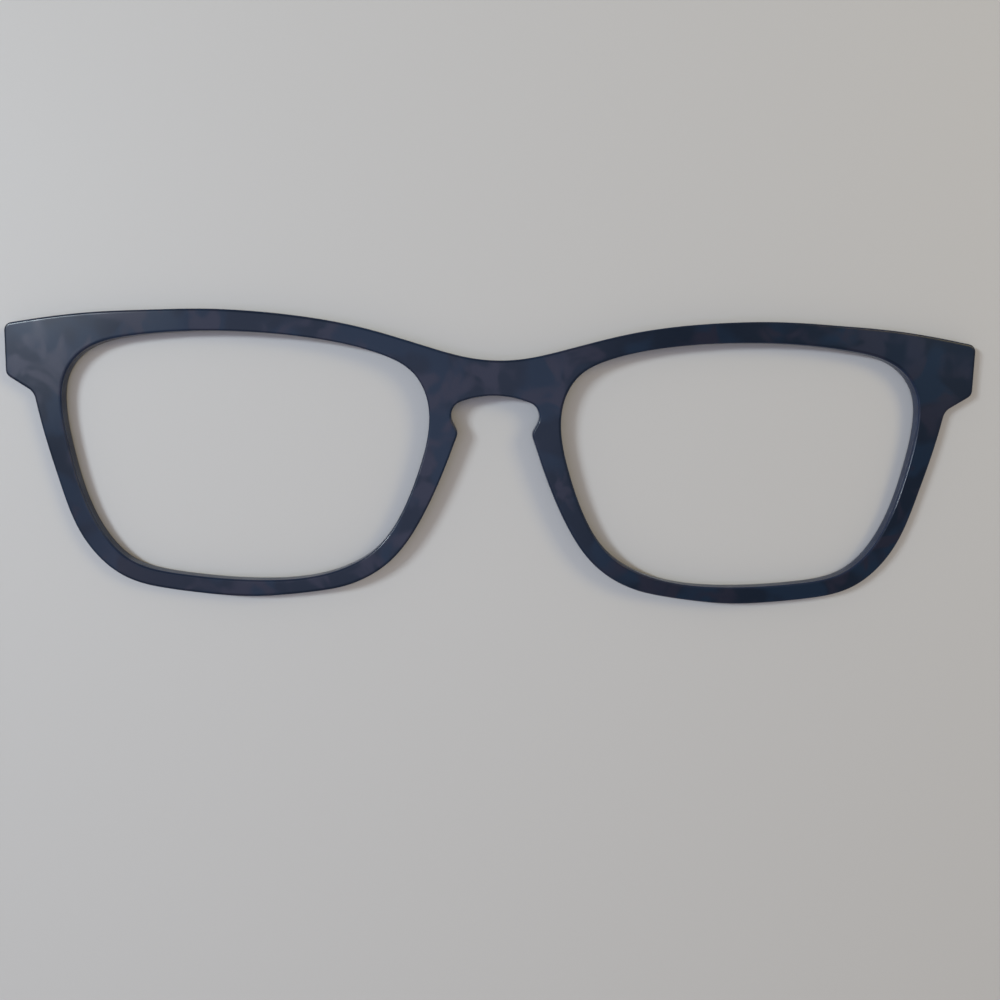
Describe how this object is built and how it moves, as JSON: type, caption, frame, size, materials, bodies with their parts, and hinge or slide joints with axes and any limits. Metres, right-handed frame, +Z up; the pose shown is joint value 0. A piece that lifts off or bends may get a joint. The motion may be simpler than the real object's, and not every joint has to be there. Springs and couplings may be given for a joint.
{
  "type": "magnetic clip-on glasses front",
  "caption": "Thin dark navy clip-on front for glasses, without lenses, with a keyhole bridge, held by small disc magnets set flush in its back.",
  "frame": {"origin": "middle of the footprint, on the table that the front lies on with its back down", "axes": "+X across the face towards the right of the picture, +Y up the face towards the brow, +Z up from the table, out of the front; the front lies as it comes to rest, tipped by about 1 degree about X"},
  "size_m": [0.14, 0.0416, 0.0036],
  "materials": {
    "navy_acetate": "satin, polished cellulose acetate, dark navy with a faint smoky cloud",
    "backing_acetate": "satin, tumbled cellulose acetate, darker navy",
    "nickel_plate": "bright nickel plating on a sintered magnet",
    "clear_glue": "clear cured adhesive"
  },
  "bodies": {
    "root": {"navy_facing": "navy_acetate", "backing": "backing_acetate", "left_end_magnet": "nickel_plate", "left_end_glue": "clear_glue", "left_bridge_magnet": "nickel_plate", "left_bridge_glue": "clear_glue", "right_bridge_magnet": "nickel_plate", "right_bridge_glue": "clear_glue", "right_end_magnet": "nickel_plate", "right_end_glue": "clear_glue"}
  },
  "joints": []
}
